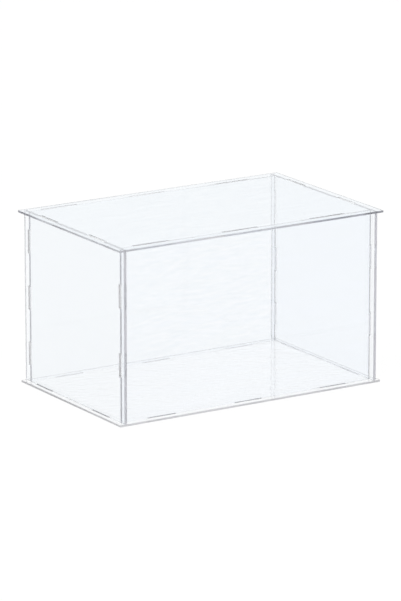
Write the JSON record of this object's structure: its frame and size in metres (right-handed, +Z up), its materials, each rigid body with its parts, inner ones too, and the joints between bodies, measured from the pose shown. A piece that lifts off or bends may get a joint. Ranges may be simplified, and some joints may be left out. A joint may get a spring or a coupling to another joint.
{
  "type": "acrylic display case",
  "caption": "Clear rectangular display case of flat acrylic sheets held by tabs in slots, with an overhanging base and a lift-off top, to show and keep dust off what stands inside.",
  "frame": {"origin": "middle of the underside of the base", "axes": "+X along the long side, the front faces -Y, +Z up"},
  "size_m": [0.3, 0.19, 0.173],
  "materials": {
    "clear_acrylic": "clear cast acrylic sheet, polished faces and laser-cut edges"
  },
  "bodies": {
    "base": {"base_panel": "clear_acrylic"},
    "walls": {"front_panel": "clear_acrylic", "back_panel": "clear_acrylic", "left_panel": "clear_acrylic", "right_panel": "clear_acrylic"},
    "lid": {"top_panel": "clear_acrylic"}
  },
  "joints": [
    {"name": "cover_lift", "type": "slide", "parent": "base", "child": "walls", "axis": [0, 0, 1], "range_m": [0, 0.18]},
    {"name": "lid_lift", "type": "slide", "parent": "walls", "child": "lid", "axis": [0, 0, 1], "range_m": [0, 0.1]}
  ]
}
